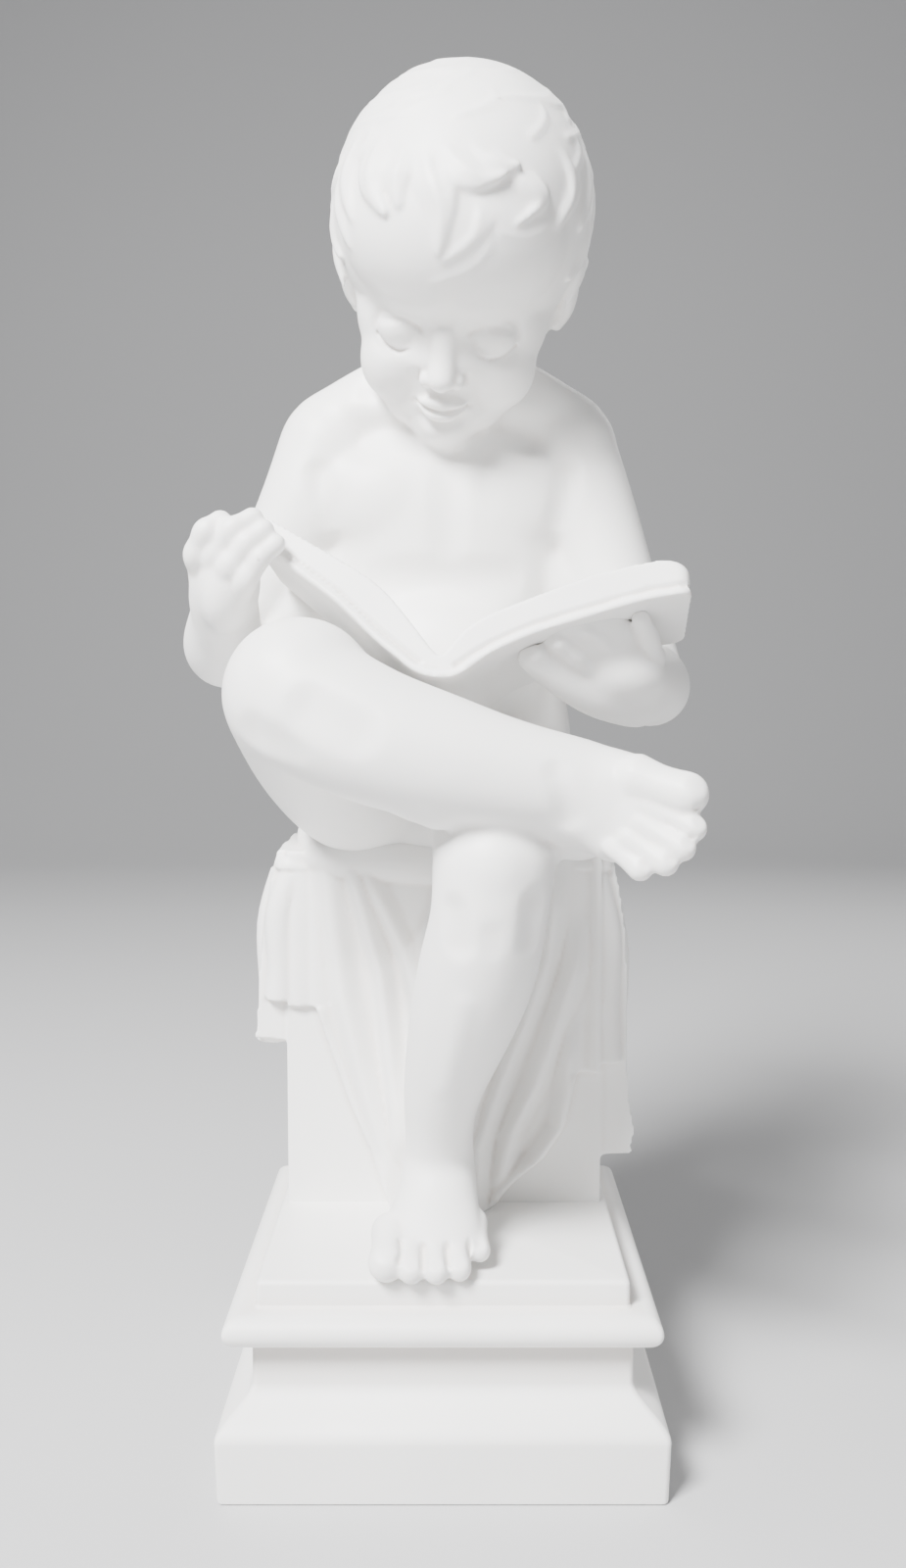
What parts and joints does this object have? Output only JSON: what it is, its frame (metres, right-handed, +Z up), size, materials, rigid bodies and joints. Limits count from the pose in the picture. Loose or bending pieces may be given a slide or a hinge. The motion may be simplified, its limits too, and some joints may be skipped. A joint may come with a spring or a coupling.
{
  "type": "reading child figurine",
  "caption": "Classical figurine of a seated child with crossed legs reading an open book, cast in one piece with its draped seat and moulded square plinth.",
  "frame": {"origin": "middle of the square plinth's underside, on the surface the figurine stands on", "axes": "+Z up, -Y the way the child and the front of the plinth face, +X to the right of someone who looks at the front"},
  "size_m": [0.114, 0.1107, 0.2989],
  "materials": {
    "white_resin": "satin-matte white cast resin with marble dust"
  },
  "bodies": {
    "root": {"reading_child_figurine": "white_resin"}
  },
  "joints": []
}
